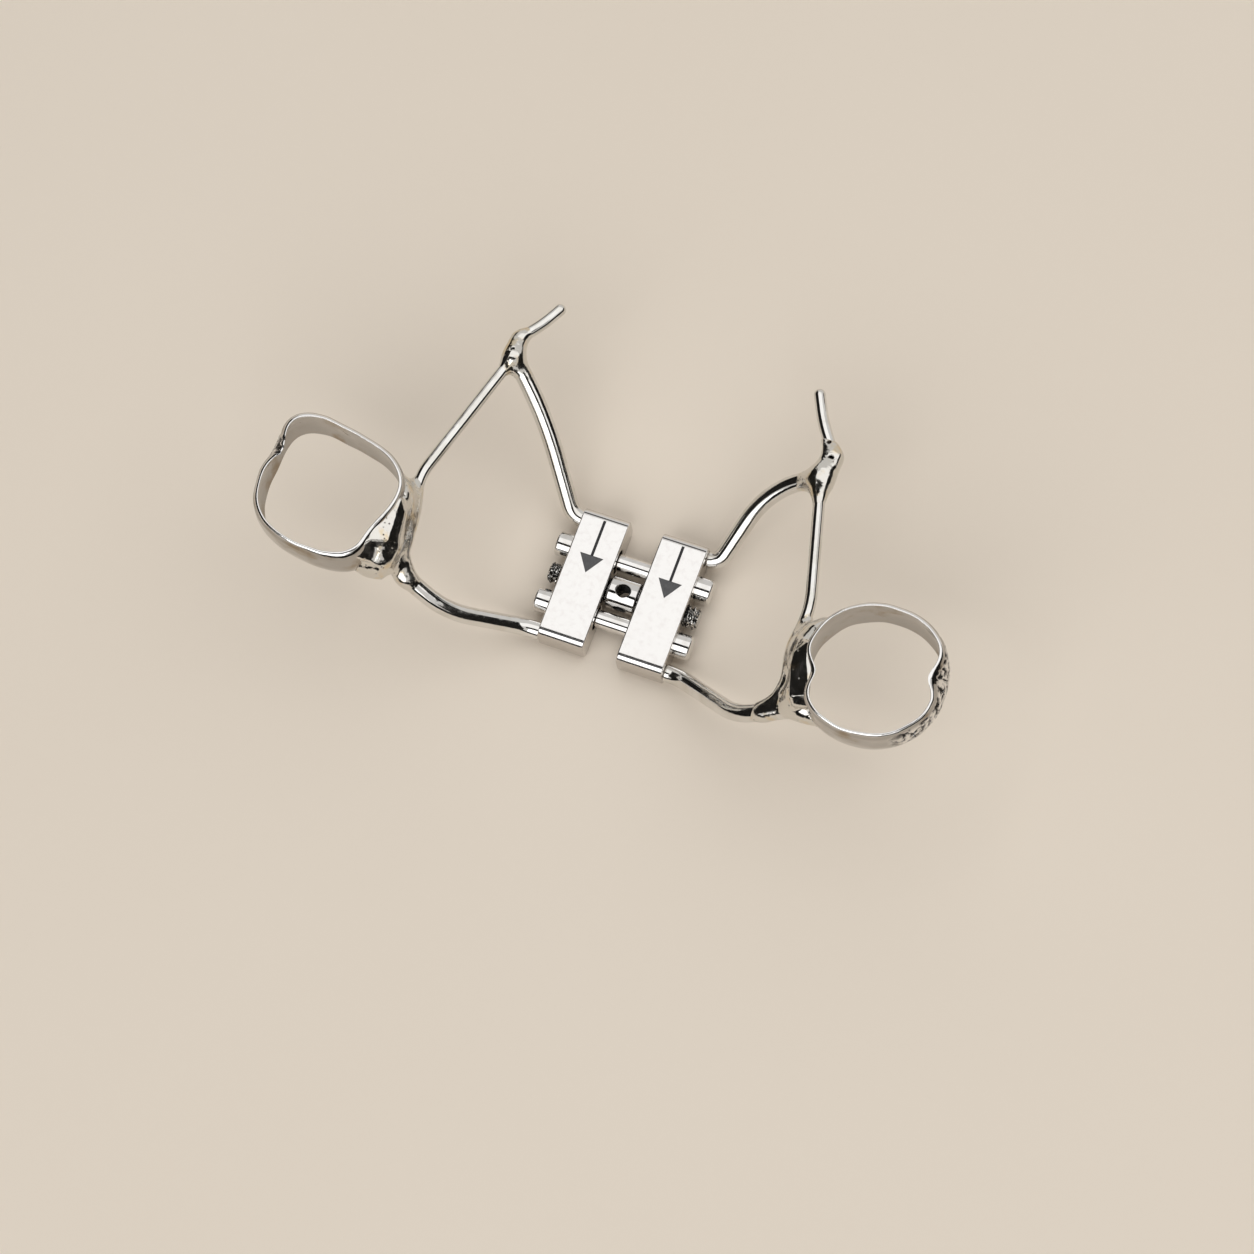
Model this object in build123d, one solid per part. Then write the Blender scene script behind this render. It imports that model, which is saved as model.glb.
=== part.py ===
"""Palatal expander: a jackscrew in two housings, wire arms, palatal bars and two molar bands.

Millimetres. The origin is the middle of the screw, where the key holes cross. +X runs along the screw,
+Y towards the incisors and +Z away from the palate. Hand-bent places are (outward, forward, up) from there.
"""
import os
from dataclasses import dataclass
from math import atan2, cos, exp, pi, radians, remainder, sin, tan

from build123d import *

# Housings: two rounded blocks that the screw drives apart
HOUSING_WIDTH = 4.0
HOUSING_LENGTH = 11.8
HOUSING_HEIGHT = 3.2
HOUSING_GAP = 2.9
HOUSING_ROUND = 0.9
HOUSING_EDGE = 0.1

# Spindle: opposite threads either side of a collar with crossed key holes
THREAD_DIAMETER = 2.0
THREAD_PLAY = 0.03
THREAD_CHAMFER = 0.2
COLLAR_DIAMETER = 2.75
COLLAR_PLAY = 0.22
COLLAR_EDGE = 0.12
KEY_HOLE_DIAMETER = 1.2
THREAD_REACH = 1.1

# Guides: plain pins that slide in closed sleeves
PIN_DIAMETER = 1.5
PIN_OFFSET = 2.55
PIN_PLAY = 0.02
PIN_CHAMFER = 0.1
PIN_END_PLAY = 0.1
SLEEVE_DIAMETER = 2.1
SLEEVE_REACH = 1.4
SLEEVE_CAP = 0.3
SLEEVE_ROUND = 0.25

# Wires: arms with turned spigots, and thinner bars that end in a finger
ARM_DIAMETER = 1.5
ARM_SETBACK = 0.75
FRONT_STUB = 1.0
REAR_STUB = 1.2
SPIGOT_DIAMETER = 1.0
SPIGOT_DEPTH = 2.2
BAR_DIAMETER = 1.0
BEND_SHARE = 0.45

# Molar bands: thin rings, widest below the rim, with the rim pressed into the tooth's grooves
BAND_RIM_LEVEL = 12.0
BAND_HEIGHT = 4.2
BAND_WALL = 0.22
RIM_DRAW_IN = 0.3
RIM_LEAN = 0.15
FOOT_DRAW_IN = 0.3
OUTLINE_POINTS = 32

# Solder: a web against each band, and a bead where each front arm meets its bar
WEB_EDGE = 0.3
WEB_ROOT = 1.2
WEB_FLOOR = 0.15
WEB_HOLLOW = 0.3
BEAD_DIAMETER = 2.2
BEAD_TAIL = 2.0
BEAD_NOSE = 0.95
BEAD_EDGE = 0.1


@dataclass
class Groove:
    """Where a band is pressed into its tooth: the angle round the band, the depths and the half width."""

    angle: float
    rim_depth: float
    waist_depth: float
    half_width: float


@dataclass
class Half:
    """The hand-bent sizes of one side; points are (outward, forward, up)."""

    name: str
    sign: int
    band_width: float
    band_length: float
    palatal_wall: float
    band_forward: float
    band_squareness: float
    band_skew: float
    buccal_groove: Groove
    palatal_groove: Groove
    front_arm_bend: tuple
    rear_arm_bends: list
    rear_arm_end: tuple
    bar_foot_share: float
    bar_along_band: list
    junction: tuple
    finger_bends: list
    finger_tip: tuple
    web_shares: tuple
    web_tops: tuple

    @property
    def band_outward(self):
        """The band's middle, half its width past the wall that the bar runs along."""
        return self.palatal_wall + self.band_width / 2

    @property
    def web_wires(self):
        """The places on the bar and the rear arm that the solder web reaches, from front to rear."""
        return self.bar_along_band[::-1] + self.rear_arm_bends[-1:]


LEFT = Half(
    name="left",
    sign=-1,
    band_width=12.4,
    band_length=11.4,
    palatal_wall=17.47,
    band_forward=-2.66,
    band_squareness=3.3,
    band_skew=0.18,
    buccal_groove=Groove(angle=14, rim_depth=0.9, waist_depth=0.12, half_width=1.5),
    palatal_groove=Groove(angle=208, rim_depth=1.7, waist_depth=1.3, half_width=4.3),
    front_arm_bend=(11.15, 11.75, 4.3),
    rear_arm_bends=[(12.5, -7.15, 4.2), (16.35, -6.2, 6.9)],
    rear_arm_end=(19.3, -4.2, 9.05),
    bar_foot_share=1.0,
    bar_along_band=[(17.1, -3.6, 8.3), (17.45, -0.3, 8.45), (17.85, 2.0, 8.3)],
    junction=(14.6, 14.6, 6.75),
    finger_bends=[(14.75, 16.3, 6.65), (13.35, 18.1, 6.55)],
    finger_tip=(12.45, 19.8, 6.5),
    web_shares=(0.8, 0.5, -0.05, -0.7),
    web_tops=(8.9, 10.2, 11.5, 11.5),
)
RIGHT = Half(
    name="right",
    sign=1,
    band_width=11.7,
    band_length=11.5,
    palatal_wall=17.12,
    band_forward=-2.67,
    band_squareness=2.13,
    band_skew=0.05,
    buccal_groove=Groove(angle=9, rim_depth=1.05, waist_depth=0.12, half_width=1.5),
    palatal_groove=Groove(angle=197, rim_depth=1.05, waist_depth=0.3, half_width=1.5),
    front_arm_bend=(8.85, 11.45, 4.3),
    rear_arm_bends=[(12.9, -7.9, 4.8), (15.9, -7.15, 7.0)],
    rear_arm_end=(19.3, -6.4, 9.0),
    bar_foot_share=0.75,
    bar_along_band=[(16.3, -5.4, 7.9), (15.85, -1.5, 8.4), (16.0, 1.6, 8.2)],
    junction=(12.95, 12.7, 6.85),
    finger_bends=[(13.35, 14.8, 6.7), (11.5, 17.3, 6.6)],
    finger_tip=(10.4, 19.6, 6.5),
    web_shares=(0.6, 0.15, -0.45, -0.75),
    web_tops=(9.8, 9.2, 9.6, 10.2),
)

INNER_FACE = HOUSING_GAP / 2
OUTER_FACE = INNER_FACE + HOUSING_WIDTH
THREAD_END = OUTER_FACE + THREAD_REACH
SLEEVE_END = OUTER_FACE + SLEEVE_REACH
ARM_SEAT = HOUSING_LENGTH / 2 - ARM_SETBACK


def on_side(half, point):
    """A place given as (outward, forward, up), in the frame of the whole part."""
    outward, forward, up = point
    return Vector(half.sign * outward, forward, up)


def rod(radius, start, end, forward=0.0):
    """A round bar along the screw's direction, from one outward distance to another."""
    length = abs(end - start)
    middle = (start + end) / 2
    return Pos(middle, forward, 0) * (Rot(0, 90, 0) * Cylinder(radius, length))


def turned(points):
    """A solid turned about the screw's direction, from its half outline as (along, radius) points."""
    return revolve(make_face(Polyline(*points, close=True)), Axis.X)


def bend_radii(points):
    """For each corner of a wire, the largest bend that its two straight runs leave room for."""
    runs = [after - before for before, after in zip(points, points[1:])]
    room = [BEND_SHARE * run.length for run in runs]
    room[0] *= 2
    room[-1] *= 2
    radii = []
    for corner in range(len(runs) - 1):
        half_turn = radians(runs[corner].get_angle(runs[corner + 1])) / 2
        radii.append(min(room[corner], room[corner + 1]) / tan(half_turn))
    return radii


def wire(points, diameter):
    """A round wire bent along straight runs joined by tangent arcs."""
    path = FilletPolyline(*points, radius=bend_radii(points))
    section = Plane(origin=points[0], z_dir=points[1] - points[0]) * Circle(diameter / 2)
    return sweep(section, path)


def housing(half):
    """A block with rounded ends, bored for the spindle and sleeves and drilled for the arms' spigots."""
    profile = Plane.YZ * RectangleRounded(HOUSING_LENGTH, HOUSING_HEIGHT, HOUSING_ROUND)
    block = Pos(INNER_FACE, 0, 0) * extrude(profile, HOUSING_WIDTH)
    faces = block.faces().sort_by(Axis.X)
    block = chamfer(faces[0].edges() + faces[-1].edges(), HOUSING_EDGE)
    block -= rod(THREAD_DIAMETER / 2 + THREAD_PLAY, INNER_FACE, OUTER_FACE)
    for end in (-1, 1):
        block -= rod(SLEEVE_DIAMETER / 2, INNER_FACE, OUTER_FACE, end * PIN_OFFSET)
        block -= rod(SPIGOT_DIAMETER / 2, OUTER_FACE - SPIGOT_DEPTH, OUTER_FACE, end * ARM_SEAT)
    return block if half.sign > 0 else mirror(block, Plane.YZ)


def spindle():
    """Two threaded ends and a collar, drilled through twice so that a key finds a hole each quarter turn."""
    thread = THREAD_DIAMETER / 2
    collar = COLLAR_DIAMETER / 2
    shoulder = INNER_FACE - COLLAR_PLAY
    half_outline = [
        (shoulder - COLLAR_EDGE, collar),
        (shoulder, collar - COLLAR_EDGE),
        (shoulder, thread),
        (THREAD_END - THREAD_CHAMFER, thread),
        (THREAD_END, thread - THREAD_CHAMFER),
        (THREAD_END, 0),
    ]
    mirrored = [(-along, radius) for along, radius in reversed(half_outline)]
    body = turned(mirrored + half_outline)
    key_hole = Cylinder(KEY_HOLE_DIAMETER / 2, 2 * COLLAR_DIAMETER)
    return body - key_hole - Rot(90, 0, 0) * key_hole


def guide_pin(end):
    """A plain pin across both housings, short of the sleeves' closed ends."""
    radius = PIN_DIAMETER / 2
    tip = SLEEVE_END - SLEEVE_CAP - PIN_END_PLAY
    outline = [
        (-tip, 0),
        (-tip, radius - PIN_CHAMFER),
        (-tip + PIN_CHAMFER, radius),
        (tip - PIN_CHAMFER, radius),
        (tip, radius - PIN_CHAMFER),
        (tip, 0),
    ]
    return Pos(0, end * PIN_OFFSET, 0) * turned(outline)


def sleeve(half, end):
    """A closed thimble through the housing, standing out of its outer face, that runs on a guide pin."""
    thimble = rod(SLEEVE_DIAMETER / 2, INNER_FACE, SLEEVE_END)
    thimble = fillet(thimble.faces().sort_by(Axis.X)[-1].edges(), SLEEVE_ROUND)
    thimble -= rod(PIN_DIAMETER / 2 + PIN_PLAY, INNER_FACE, SLEEVE_END - SLEEVE_CAP)
    placed = Pos(0, end * PIN_OFFSET, 0) * thimble
    return placed if half.sign > 0 else mirror(placed, Plane.YZ)


def arm(half, end, stub, bends):
    """A thick wire with a turned spigot in the housing, and its shoulder against the housing's face."""
    seat = end * ARM_SEAT
    points = [(OUTER_FACE, seat, 0), (OUTER_FACE + stub, seat, 0)] + bends
    spigot = rod(SPIGOT_DIAMETER / 2, half.sign * (OUTER_FACE - SPIGOT_DEPTH), half.sign * OUTER_FACE, seat)
    return wire([on_side(half, point) for point in points], ARM_DIAMETER) + spigot


def bar_points(half):
    """The palatal bar's route, from the rear arm along the band to the junction and on to the finger's tip."""
    low, high = (Vector(*point) for point in half.rear_arm_bends)
    foot = tuple(low + (high - low) * half.bar_foot_share)
    return [foot] + half.bar_along_band + [half.junction] + half.finger_bends + [half.finger_tip]


def palatal_bar(half):
    """A thin wire with a rounded tip."""
    points = [on_side(half, point) for point in bar_points(half)]
    return wire(points, BAR_DIAMETER) + Pos(points[-1]) * Sphere(BAR_DIAMETER / 2)


def band_radius(half, angle, inset):
    """The distance from a band's middle to its plain superellipse outline, inset all round, at an angle."""
    across = abs(cos(angle)) / (half.band_width / 2 - inset)
    along = abs(sin(angle)) / (half.band_length / 2 - inset)
    return (across**half.band_squareness + along**half.band_squareness) ** (-1 / half.band_squareness)


def pressed_radius(half, angle, inset, pressing):
    """The outline's radius with its two bell-shaped grooves, at their rim depths where pressing is 1."""
    half_width = half.band_width / 2 - inset
    radius = band_radius(half, angle, inset)
    for groove in (half.buccal_groove, half.palatal_groove):
        depth = groove.waist_depth + (groove.rim_depth - groove.waist_depth) * pressing
        aside = half_width * remainder(angle - radians(groove.angle), 2 * pi)
        radius -= depth * exp(-((aside / groove.half_width) ** 2))
    return radius


def band_place(half, angle, radius, lean, level):
    """The place at an angle and distance from a band's middle, which is skewed forward on its outer side."""
    outward = radius * cos(angle)
    forward = radius * sin(angle) + half.band_skew * outward
    return on_side(half, (half.band_outward - lean + outward, half.band_forward + forward, level))


def band_outline(half, level, draw_in, lean, pressing, inset):
    """The band's outline at one level, with its grooves pressed in."""
    points = []
    for step in range(OUTLINE_POINTS):
        angle = 2 * pi * step / OUTLINE_POINTS
        radius = pressed_radius(half, angle, draw_in + inset, pressing)
        points.append(band_place(half, angle, radius, lean, level))
    return make_face(Spline(*points, periodic=True))


def band_form(half, inset):
    """The solid inside a band's outer wall, or inside its inner wall when inset by the wall's thickness."""
    foot = BAND_RIM_LEVEL - BAND_HEIGHT
    waist = BAND_RIM_LEVEL - BAND_HEIGHT / 2
    return loft(
        [
            band_outline(half, foot, FOOT_DRAW_IN, 0, 0, inset),
            band_outline(half, waist, 0, 0, 0, inset),
            band_outline(half, BAND_RIM_LEVEL, RIM_DRAW_IN, RIM_LEAN, 1, inset),
        ]
    )


def palatal_wall_place(half, share, level):
    """The place on a band's palatal rim at a share of its half length, forward or back from its middle."""
    squareness = half.band_squareness
    across = (half.band_width / 2 - RIM_DRAW_IN) * (1 - abs(share) ** squareness) ** (1 / squareness)
    along = (half.band_length / 2 - RIM_DRAW_IN) * share
    angle = atan2(along, -across)
    return band_place(half, angle, pressed_radius(half, angle, RIM_DRAW_IN, 1), RIM_LEAN, level)


def web_section(half, wire_place, share, top):
    """An upright slice of the solder web: thin at the wire, with a hollow slope up to the band's wall."""
    near = on_side(half, wire_place)
    wall = palatal_wall_place(half, share, top)
    inwards = Vector(wall.X - near.X, wall.Y - near.Y, 0).normalized()
    root = wall + inwards * WEB_ROOT
    middle = (near + wall) / 2
    crest = near.Z + WEB_EDGE
    floor = BAND_RIM_LEVEL - BAND_HEIGHT + WEB_FLOOR
    points = [
        (near.X, near.Y, near.Z - WEB_EDGE),
        (near.X, near.Y, crest),
        (middle.X, middle.Y, crest + (top - crest) * WEB_HOLLOW),
        tuple(wall),
        tuple(root),
        (root.X, root.Y, floor),
    ]
    return make_face(Polyline(*points, close=True))


def solder_web(half):
    """The web of solder between the band's wall, the bar and the rear arm."""
    stations = zip(half.web_wires, half.web_shares, half.web_tops)
    return loft([web_section(half, *station) for station in stations], ruled=True)


def solder_bead(half):
    """The bead that buries a front arm's end: a cone along the arm with a round nose past the bar."""
    joint = on_side(half, half.junction)
    along = joint - on_side(half, half.front_arm_bend)
    across = along.cross(on_side(half, half.finger_bends[0]) - joint)
    widest = BEAD_DIAMETER / 2
    belly = BEAD_NOSE - widest
    tail = (ARM_DIAMETER / 2 + BEAD_EDGE, 0, -BEAD_TAIL)
    equator = (widest, 0, belly)
    nose = (0, 0, BEAD_NOSE)
    outline = [
        Line((0, 0, -BEAD_TAIL), tail),
        Line(tail, equator),
        ThreePointArc(equator, (widest * cos(pi / 4), 0, belly + widest * sin(pi / 4)), nose),
        Line(nose, (0, 0, -BEAD_TAIL)),
    ]
    return Plane(origin=joint, x_dir=across, z_dir=along) * revolve(make_face(outline), Axis.Z)


def half_nodes(half):
    """Every piece that moves with one housing, each seated against the ones it is soldered or pressed to."""
    band_outside = band_form(half, 0)
    rear_arm = arm(half, -1, REAR_STUB, half.rear_arm_bends + [half.rear_arm_end]) - band_outside
    bar = palatal_bar(half) - rear_arm - band_outside
    front_arm = arm(half, 1, FRONT_STUB, [half.front_arm_bend, half.junction])
    return {
        "housing": housing(half),
        "front_sleeve": sleeve(half, 1),
        "rear_sleeve": sleeve(half, -1),
        "front_arm": front_arm - bar,
        "rear_arm": rear_arm,
        "palatal_bar": bar,
        "molar_band": band_outside - band_form(half, BAND_WALL),
        "band_solder": solder_web(half) - band_outside - bar - rear_arm,
        "front_solder": solder_bead(half) - front_arm - bar,
    }


nodes = {"spindle": spindle(), "front_guide_pin": guide_pin(1), "rear_guide_pin": guide_pin(-1)}
for half in (LEFT, RIGHT):
    for piece, solid in half_nodes(half).items():
        nodes[f"{half.name}_{piece}"] = solid

os.makedirs("parts", exist_ok=True)
for name, solid in nodes.items():
    export_step(solid, f"parts/{name}.step")
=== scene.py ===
"""The looks of a banded palatal expander: a jackscrew in two guided housings, wires soldered to molar bands.

Lengths are in millimetres until a mesh is made. A place in a half is (outward, forward, up) from the middle
of the screw, and the half's sign turns outward into X.
"""

from dataclasses import dataclass
from math import pi, radians

import bmesh
import bpy
import numpy as np
from mathutils import Matrix


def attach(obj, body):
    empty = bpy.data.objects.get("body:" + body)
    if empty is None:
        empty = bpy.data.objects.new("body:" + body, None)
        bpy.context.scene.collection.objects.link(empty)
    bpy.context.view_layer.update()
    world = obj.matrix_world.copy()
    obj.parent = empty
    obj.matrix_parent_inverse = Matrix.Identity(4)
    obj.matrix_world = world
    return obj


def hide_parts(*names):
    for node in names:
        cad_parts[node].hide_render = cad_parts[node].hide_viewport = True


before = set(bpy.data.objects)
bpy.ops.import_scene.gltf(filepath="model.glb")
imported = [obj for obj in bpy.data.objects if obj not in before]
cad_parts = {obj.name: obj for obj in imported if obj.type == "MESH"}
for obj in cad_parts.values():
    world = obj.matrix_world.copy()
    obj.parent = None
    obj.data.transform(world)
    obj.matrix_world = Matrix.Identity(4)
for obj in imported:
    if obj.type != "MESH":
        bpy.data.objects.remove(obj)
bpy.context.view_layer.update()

MM = 0.001
UP = np.array([0.0, 0.0, 1.0])

# Housings and what runs through them.
HOUSING_WIDTH = 4.0
HOUSING_LENGTH = 11.8
HOUSING_HEIGHT = 3.2
HOUSING_GAP = 2.9
HOUSING_ROUND = 0.9
HOUSING_EDGE = 0.12
MOUTH_FLARE = 0.07
INNER_FACE = HOUSING_GAP / 2
OUTER_FACE = INNER_FACE + HOUSING_WIDTH
HOUSING_MIDDLE = (INNER_FACE + OUTER_FACE) / 2
CUT_PROUD = 0.3
TOP = HOUSING_HEIGHT / 2

# Arrow on a housing's top, which points to the rear.
ARROW_FRONT = 5.12
ARROW_NECK = 1.95
ARROW_TIP = 0.4
ARROW_HEAD_HALF_WIDTH = 1.03
ARROW_SHAFT_HALF_WIDTH = 0.12
ARROW_DEPTH = 0.1

# Screw, pins and sleeves.
THREAD_RADIUS = 1.0
THREAD_PLAY = 0.03
THREAD_LEAD = 0.4
THREAD_DEPTH = 0.2
THREAD_CHAMFER = 0.2
THREAD_WEAR = 0.1
THREAD_END = OUTER_FACE + 1.1
COLLAR_RADIUS = 1.375
COLLAR_END = INNER_FACE - 0.22
COLLAR_EDGE = 0.12
THREAD_START = COLLAR_END - 0.02
KEY_HOLE_RADIUS = 0.6
KEY_HOLE_FLARE = 0.09
KEY_HOLE_LIP = 0.06
KEY_HOLE_PROUD = 0.05
PIN_RADIUS = 0.75
PIN_EDGE = 0.1
PIN_OFFSET = 2.55
SLEEVE_RADIUS = 1.05
SLEEVE_PLAY = 0.01
SLEEVE_BURIED = 0.5
SLEEVE_END = OUTER_FACE + 1.4
SLEEVE_ROUND = 0.25
PIN_END = SLEEVE_END - 0.4

# Wires.
ARM_RADIUS = 0.75
ARM_SEAT = HOUSING_LENGTH / 2 - 0.75
FRONT_STUB = 1.0
REAR_STUB = 1.2
SPIGOT_RADIUS = 0.5
SPIGOT_DEPTH = 1.0
SPIGOT_SHOWN = 0.5
SHOULDER_ROUND = 0.16
BAR_RADIUS = 0.5
BEND_SHARE = 0.45
WIRE_SIDES = 48
WIRE_STEP = 0.08
WIRE_WEAR = 0.012

# Solder.
SOLDER_SINK = 0.03
SOLDER_STEP = 0.12
WEB_MIDDLE = 8.4
WEB_FOOT = 7.7
FACET_HALF = 0.25
FACET_DEPTH = 0.7
FACET_FILLET = 0.4
WIRE_FILLET = 1.2
SHOULDER_FILLET = 1.1
WALL_FILLET = 0.3
WALL_SINK = 0.15
RIM_MARGIN = 0.12
ROOT_FILLET = 0.8
BEAD_BOX = (3.2, 3.6, 1.7)
WEB_TAIL = 0.9
RIPPLE = 0.03
PIT_EDGE = 0.06

# Bands.
BAND_RIM = 12.0
BAND_FOOT = 7.8
BAND_WALL = 0.22
RIM_DRAW_IN = 0.3
RIM_LEAN = 0.15
FOOT_DRAW_IN = 0.3
RIM_CURL = 0.14
CURL_START = 0.5
CURL_PEAK = 0.87
RIM_DIP = 0.16
DIP_ROUND = 3.2
DENT = 0.04
LIGHTER_RIM_START = 0.955
SOLDERED_TOP = BAND_RIM - 0.3
SOLDERED_FOOT = BAND_FOOT + 0.1


@dataclass
class Groove:
    """A place where a band is pressed in: its turn, its depths at the rim and below, and its half width."""

    turn: float
    rim_depth: float
    waist_depth: float
    half_width: float


@dataclass
class Half:
    """One half of the part: the band's size and place, and the bends of its wires."""

    name: str
    sign: float
    band_width: float
    band_length: float
    palatal_wall: float
    band_forward: float
    band_squareness: float
    band_skew: float
    buccal_groove: Groove
    palatal_groove: Groove
    front_arm_bend: tuple
    rear_arm_bends: list
    rear_arm_end: tuple
    bar_foot_share: float
    bar_along_band: list
    junction: tuple
    finger_bends: list
    finger_tip: tuple
    web_turns: list
    web_widths: list
    web_tops: list
    web_corners: list
    web_facets: list
    bead_corners: list
    bead_facets: list
    bead_pits: list
    web_power: float
    web_box: list
    bead_reach: float
    finger_root: float
    rough_turns: list
    rough_levels: list

    @property
    def body(self):
        return f"{self.name}_half"

    @property
    def band_outward(self):
        return self.palatal_wall + self.band_width / 2


LEFT = Half(
    name="left",
    sign=-1.0,
    band_width=12.4,
    band_length=11.4,
    palatal_wall=17.47,
    band_forward=-2.66,
    band_squareness=3.3,
    band_skew=0.18,
    buccal_groove=Groove(turn=radians(14), rim_depth=0.9, waist_depth=0.12, half_width=1.5),
    palatal_groove=Groove(turn=radians(208), rim_depth=1.7, waist_depth=1.3, half_width=4.3),
    front_arm_bend=(11.15, 11.75, 4.3),
    rear_arm_bends=[(12.5, -7.15, 4.2), (16.35, -6.2, 6.9)],
    rear_arm_end=(19.3, -4.2, 9.05),
    bar_foot_share=1.0,
    bar_along_band=[(17.1, -3.6, 8.3), (17.45, -0.3, 8.45), (17.85, 2.0, 8.3)],
    junction=(14.6, 14.6, 6.75),
    finger_bends=[(14.75, 16.3, 6.65), (13.35, 18.1, 6.55)],
    finger_tip=(12.45, 19.8, 6.5),
    web_turns=[126, 140, 150, 172, 190, 202, 212, 222, 232],
    web_widths=[0.05, 0.7, 1.15, 1.7, 2.05, 2.4, 2.2, 1.2, 0.05],
    web_tops=[10.2, 10.6, 11.1, 11.3, 11.2, 10.9, 10.3, 9.7, 9.2],
    web_corners=[
        (17.92, -1.48, 11.75), (17.95, -2.7, 11.6), (18.77, -3.33, 11.75), (17.78, -4.86, 11.3),
        (19.02, -5.4, 11.75), (17.5, -2.1, 11.15), (17.2, -4.2, 10.75), (17.0, -5.1, 10.4),
        (18.25, -6.55, 10.25), (20.04, -6.95, 11.6), (17.3, -6.2, 9.7),
    ],
    web_facets=[
        (0, 1, 2), (2, 1, 3), (2, 3, 4), (0, 5, 1), (1, 5, 6), (1, 6, 3), (3, 6, 7), (4, 8, 9),
        (4, 10, 8), (4, 3, 10), (3, 7, 10),
    ],
    bead_corners=[],
    bead_facets=[],
    bead_pits=[(14.73, 14.9, 7.3, 0.3)],
    web_power=2.5,
    web_box=[(14.4, -8.9, 5.8), (21.8, 3.0, 12.4)],
    bead_reach=1.2,
    finger_root=0.62,
    rough_turns=[2, 9, 19, 26],
    rough_levels=[10.2, 10.8, 12.0, 12.4],
)

RIGHT = Half(
    name="right",
    sign=1.0,
    band_width=11.7,
    band_length=11.5,
    palatal_wall=17.12,
    band_forward=-2.67,
    band_squareness=2.13,
    band_skew=0.05,
    buccal_groove=Groove(turn=radians(9), rim_depth=1.05, waist_depth=0.12, half_width=1.5),
    palatal_groove=Groove(turn=radians(197), rim_depth=1.05, waist_depth=0.3, half_width=1.5),
    front_arm_bend=(8.85, 11.45, 4.3),
    rear_arm_bends=[(12.9, -7.9, 4.8), (15.9, -7.15, 7.0)],
    rear_arm_end=(19.3, -6.4, 9.0),
    bar_foot_share=0.75,
    bar_along_band=[(16.3, -5.4, 7.9), (15.85, -1.5, 8.4), (16.0, 1.6, 8.2)],
    junction=(12.95, 12.7, 6.85),
    finger_bends=[(13.35, 14.8, 6.7), (11.5, 17.3, 6.6)],
    finger_tip=(10.4, 19.6, 6.5),
    web_turns=[134, 146, 156, 170, 190, 204, 214, 226, 238],
    web_widths=[0.05, 1.1, 1.55, 1.85, 2.05, 2.3, 1.8, 0.9, 0.05],
    web_tops=[10.2, 10.7, 11.1, 11.2, 11.2, 10.8, 10.0, 9.3, 8.8],
    web_corners=[
        (17.29, -2.27, 11.75), (16.7, -2.13, 11.1), (16.54, -3.23, 11.2), (17.63, -3.43, 11.75),
        (16.64, -4.13, 11.2), (18.2, -4.84, 11.75), (18.19, -3.91, 11.75), (16.96, -5.22, 11.2),
        (17.37, -6.52, 11.1), (18.54, -6.17, 11.7), (17.75, -6.93, 10.7), (19.12, -6.94, 11.6),
    ],
    web_facets=[
        (0, 1, 2), (0, 2, 3), (3, 2, 4), (3, 5, 6), (3, 4, 5), (5, 4, 7), (5, 7, 8), (5, 8, 9),
        (9, 8, 10), (9, 10, 11),
    ],
    bead_corners=[
        (11.95, 16.45, 7.0), (12.3, 15.5, 7.3), (13.2, 15.55, 7.3), (13.65, 14.86, 7.4),
        (12.7, 14.5, 7.4), (13.65, 14.04, 7.45),
    ],
    bead_facets=[
        (0, 1, 2), (1, 3, 2), (1, 4, 3), (4, 5, 3),
    ],
    bead_pits=[(12.6, 15.7, 7.3, 0.16), (13.24, 14.39, 7.5, 0.2), (12.93, 11.65, 7.2, 0.32)],
    web_power=2.3,
    web_box=[(13.9, -9.1, 5.8), (20.9, 3.2, 12.4)],
    bead_reach=2.2,
    finger_root=0.78,
    rough_turns=[-62, -48, 36, 50],
    rough_levels=[8.9, 9.4, 11.3, 11.6],
)


# Shader sockets as values.


class Value:
    """A shader socket that takes part in Python sums: each operator adds a Math node."""

    def __init__(self, finish, socket):
        self.finish = finish
        self.socket = socket

    def math(self, operation, first, second):
        return self.finish.node("ShaderNodeMath", {"operation": operation}, {0: first, 1: second})

    def __add__(self, other):
        return self.math("ADD", self, other)

    __radd__ = __add__

    def __sub__(self, other):
        return self.math("SUBTRACT", self, other)

    def __rsub__(self, other):
        return self.math("SUBTRACT", other, self)

    def __mul__(self, other):
        return self.math("MULTIPLY", self, other)

    __rmul__ = __mul__

    def __gt__(self, other):
        return self.math("GREATER_THAN", self, other)

    def __lt__(self, other):
        return self.math("LESS_THAN", self, other)


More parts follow.
